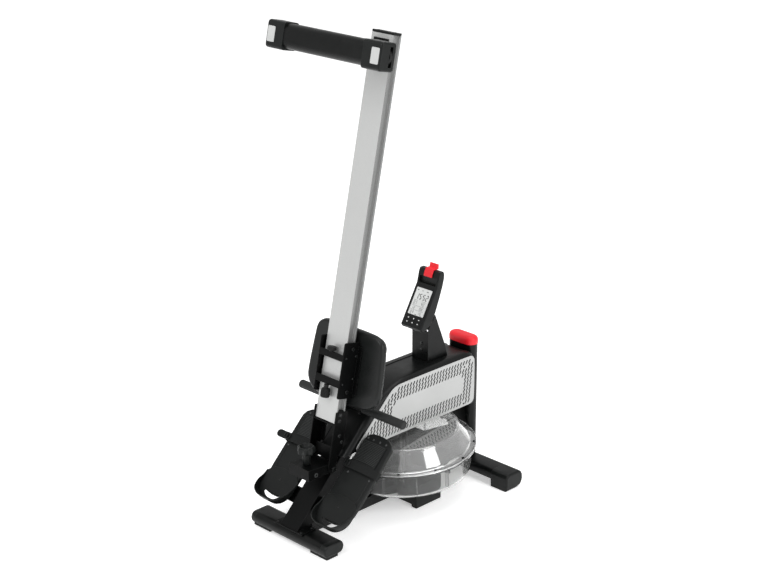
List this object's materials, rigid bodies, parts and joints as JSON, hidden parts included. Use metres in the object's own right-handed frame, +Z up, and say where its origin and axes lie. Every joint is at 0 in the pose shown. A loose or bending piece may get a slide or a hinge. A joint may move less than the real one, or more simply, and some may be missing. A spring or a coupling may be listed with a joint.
{
  "type": "rowing machine",
  "caption": "Folding water-resistance rowing machine stored upright: rail leaning over a round clear tank, seat on a roller carriage, strap handle, footplates and a small display.",
  "frame": {"origin": "centre of the bounding box on the floor", "axes": "+Z up; +Y from the user's end towards the tank and the far foot; +X to the right of a user who faces the tank"},
  "size_m": [0.52, 0.85, 1.6279],
  "materials": {
    "black_paint": "satin powder coat",
    "black_plastic": "moulded, fine grain",
    "black_rubber": "matt",
    "rail_metal": "brushed anodised",
    "panel_grey": "satin silver-grey",
    "red_plastic": "satin moulded",
    "steel": "zinc plated",
    "clear_tank": "clear moulded",
    "seat_foam": "black padded vinyl",
    "webbing": "woven strap",
    "key_plastic": "white moulded"
  },
  "bodies": {
    "base": {"near_foot_tube": "black_paint", "near_foot_cap_left": "black_plastic", "near_foot_cap_right": "black_plastic", "base_beam": "black_paint", "mid_foot": "black_plastic", "far_foot_tube": "black_paint", "far_foot_cap_left": "black_plastic", "far_foot_cap_right": "black_plastic", "front_post": "black_paint", "hinge_box": "black_paint", "hinge_pin": "steel", "rear_column": "black_paint", "column_cap": "red_plastic", "drive_frame": "black_paint", "housing_left": "black_plastic", "housing_right": "black_plastic", "housing_centre": "black_plastic", "side_panel_left": "panel_grey", "side_panel_right": "panel_grey", "console_bracket": "black_paint", "tank_bowl": "clear_tank", "tank_lid": "clear_tank", "footrest_left": "black_plastic", "footrest_right": "black_plastic", "footrest_bracket": "black_paint", "foot_strap_left": "webbing", "foot_strap_right": "webbing"},
    "folding_rail": {"rail": "rail_metal", "rail_end_cap": "black_plastic", "hinge_bracket": "black_paint", "rear_foot_tube": "black_paint", "rear_foot_cap_left": "black_plastic", "rear_foot_cap_right": "black_plastic"},
    "seat": {"seat_pad": "seat_foam", "seat_carriage": "black_paint", "buffer_lower": "black_rubber", "buffer_upper": "black_rubber"},
    "roller_a": {"roller_lower_left": "black_plastic"},
    "roller_b": {"roller_lower_right": "black_plastic"},
    "roller_c": {"roller_upper_left": "black_plastic"},
    "roller_d": {"roller_upper_right": "black_plastic"},
    "wheel_left": {"level_wheel_left": "black_plastic"},
    "wheel_right": {"level_wheel_right": "black_plastic"},
    "knob": {"lock_knob": "black_plastic"},
    "handle": {"handle_bar": "black_paint", "grip_left": "black_rubber", "grip_right": "black_rubber", "drive_strap": "webbing"},
    "drum": {"strap_drum": "black_plastic"},
    "impeller": {"paddle": "black_plastic"},
    "heel_left": {"heel_cup_left": "black_plastic"},
    "heel_right": {"heel_cup_right": "black_plastic"},
    "console": {"console_body": "black_plastic"},
    "clip": {"phone_clip": "red_plastic"},
    "button_1": {"key_1": "key_plastic"},
    "button_2": {"key_2": "key_plastic"},
    "button_3": {"key_3": "key_plastic"},
    "button_4": {"key_4": "key_plastic"},
    "button_5": {"key_5": "key_plastic"},
    "button_6": {"key_6": "key_plastic"}
  },
  "joints": [
    {"name": "rail_fold", "type": "hinge", "parent": "base", "child": "folding_rail", "pos_m": [0, -0.267, 0.226], "axis": [1, 0, 0], "range_deg": [0, 100.3]},
    {"name": "seat_slide", "type": "slide", "parent": "folding_rail", "child": "seat", "axis": [0, 0.2104, 0.9776], "range_m": [0, 0.9]},
    {"name": "roller_a_turn", "type": "hinge", "parent": "seat", "child": "roller_a", "pos_m": [-0.042, -0.21168, 0.4778], "axis": [1, 0, 0], "continuous": true},
    {"name": "roller_b_turn", "type": "hinge", "parent": "seat", "child": "roller_b", "pos_m": [0.042, -0.21168, 0.4778], "axis": [1, 0, 0], "continuous": true},
    {"name": "roller_c_turn", "type": "hinge", "parent": "seat", "child": "roller_c", "pos_m": [-0.042, -0.18222, 0.61466], "axis": [1, 0, 0], "continuous": true},
    {"name": "roller_d_turn", "type": "hinge", "parent": "seat", "child": "roller_d", "pos_m": [0.042, -0.18222, 0.61466], "axis": [1, 0, 0], "continuous": true},
    {"name": "wheel_left_turn", "type": "hinge", "parent": "folding_rail", "child": "wheel_left", "pos_m": [-0.222, -0.20502, 1.57905], "axis": [0, 0.9776, -0.2104], "continuous": true},
    {"name": "wheel_right_turn", "type": "hinge", "parent": "folding_rail", "child": "wheel_right", "pos_m": [0.222, -0.20502, 1.57905], "axis": [0, 0.9776, -0.2104], "continuous": true},
    {"name": "knob_turn", "type": "hinge", "parent": "base", "child": "knob", "pos_m": [0, -0.335, 0.29], "axis": [0, 0, 1], "continuous": true},
    {"name": "handle_pull", "type": "slide", "parent": "base", "child": "handle", "axis": [0, -1, 0], "range_m": [0, 0.045], "stiffness_N_per_m": 60, "springref_m": -0.1},
    {"name": "drum_turn", "type": "hinge", "parent": "base", "child": "drum", "pos_m": [0, 0.10071, 0.31554], "axis": [0, -0.061, 0.9981], "range_deg": [-90, 0]},
    {"name": "impeller_turn", "type": "hinge", "parent": "base", "child": "impeller", "pos_m": [0, 0.1092, 0.1768], "axis": [0, -0.061, 0.9981], "continuous": true},
    {"name": "heel_left_slide", "type": "slide", "parent": "base", "child": "heel_left", "axis": [0, 0.7071, 0.7071], "range_m": [-0.02, 0.04]},
    {"name": "heel_right_slide", "type": "slide", "parent": "base", "child": "heel_right", "axis": [0, 0.7071, 0.7071], "range_m": [-0.02, 0.04]},
    {"name": "console_tilt", "type": "hinge", "parent": "base", "child": "console", "pos_m": [0, 0.209, 0.606], "axis": [1, 0, 0], "range_deg": [-10, 10]},
    {"name": "clip_slide", "type": "slide", "parent": "console", "child": "clip", "axis": [0, 0.2756, 0.9613], "range_m": [0, 0.008], "stiffness_N_per_m": 150, "springref_m": -0.004},
    {"name": "button_1_press", "type": "slide", "parent": "console", "child": "button_1", "axis": [0, 0.8625, -0.506], "range_m": [0, 0.001], "stiffness_N_per_m": 400},
    {"name": "button_2_press", "type": "slide", "parent": "console", "child": "button_2", "axis": [0, 0.8625, -0.506], "range_m": [0, 0.001], "stiffness_N_per_m": 400},
    {"name": "button_3_press", "type": "slide", "parent": "console", "child": "button_3", "axis": [0, 0.8625, -0.506], "range_m": [0, 0.001], "stiffness_N_per_m": 400},
    {"name": "button_4_press", "type": "slide", "parent": "console", "child": "button_4", "axis": [0, 0.8625, -0.506], "range_m": [0, 0.001], "stiffness_N_per_m": 400},
    {"name": "button_5_press", "type": "slide", "parent": "console", "child": "button_5", "axis": [0, 0.8625, -0.506], "range_m": [0, 0.001], "stiffness_N_per_m": 400},
    {"name": "button_6_press", "type": "slide", "parent": "console", "child": "button_6", "axis": [0, 0.8625, -0.506], "range_m": [0, 0.001], "stiffness_N_per_m": 400}
  ],
  "couplings": [
    {"joint": "roller_a_turn", "follows": "seat_slide", "rad_per_m": 86.207},
    {"joint": "roller_b_turn", "follows": "seat_slide", "rad_per_m": 86.207},
    {"joint": "roller_c_turn", "follows": "seat_slide", "rad_per_m": 86.207},
    {"joint": "roller_d_turn", "follows": "seat_slide", "rad_per_m": 86.207},
    {"joint": "drum_turn", "follows": "handle_pull", "rad_per_m": -33.223}
  ]
}
